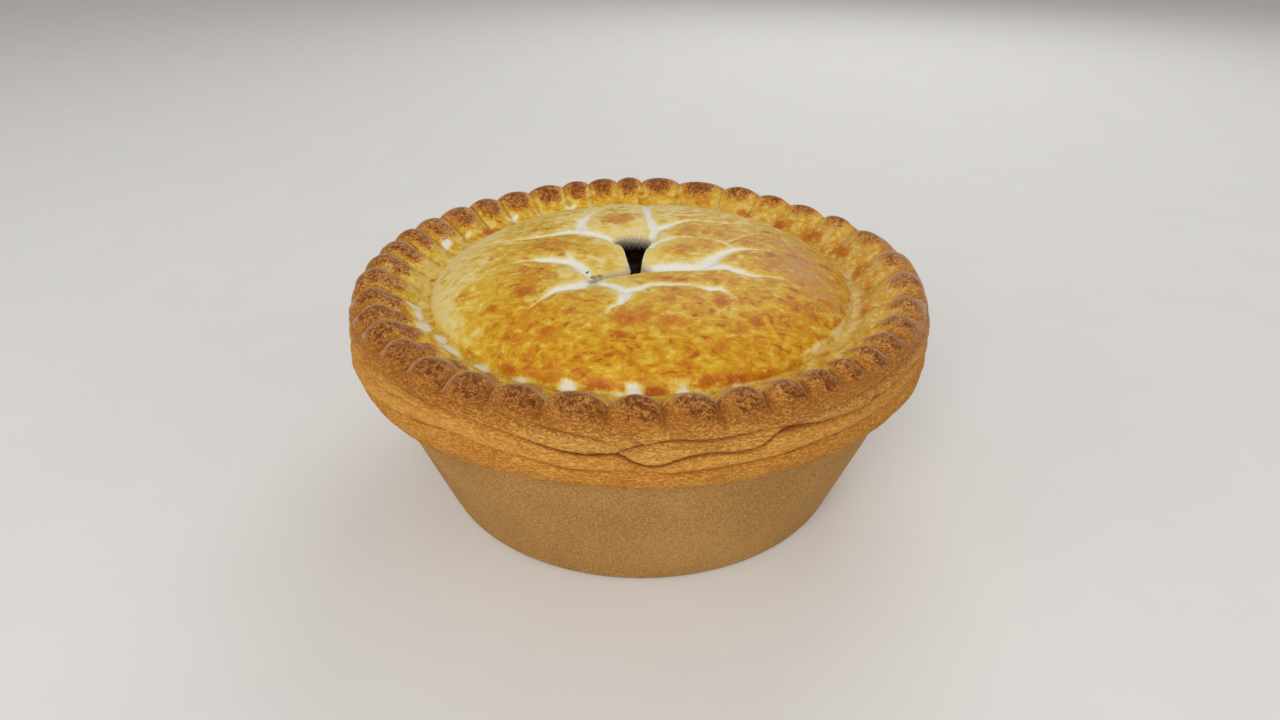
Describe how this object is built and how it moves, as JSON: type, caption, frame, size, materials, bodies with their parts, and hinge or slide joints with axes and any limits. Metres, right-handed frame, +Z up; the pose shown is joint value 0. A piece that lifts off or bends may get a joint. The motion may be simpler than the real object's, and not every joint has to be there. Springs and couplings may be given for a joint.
{
  "type": "steak and ale pie",
  "caption": "Whole round steak and ale pie: a tapered raised pastry case with an overhanging rope-crimped rim and a domed golden lid torn open at a steam vent.",
  "frame": {"origin": "on the surface the pie stands on, under the middle of its bounding box", "axes": "+Z up through the lid; the tear's slit points to the front left, towards -X and -Y"},
  "size_m": [0.1198, 0.1198, 0.0516],
  "materials": {
    "case_pastry": "baked shortcrust, tan with an orange-brown cast, dry and faintly sandy",
    "lid_pastry": "egg-glazed pastry, golden with pale veins and brown blotches, dark brown on the crimps",
    "filling_gravy": "dark wet ale gravy, seen only down the vent"
  },
  "bodies": {
    "root": {"pastry_case": "case_pastry", "lid": "lid_pastry", "filling": "filling_gravy"}
  },
  "joints": []
}
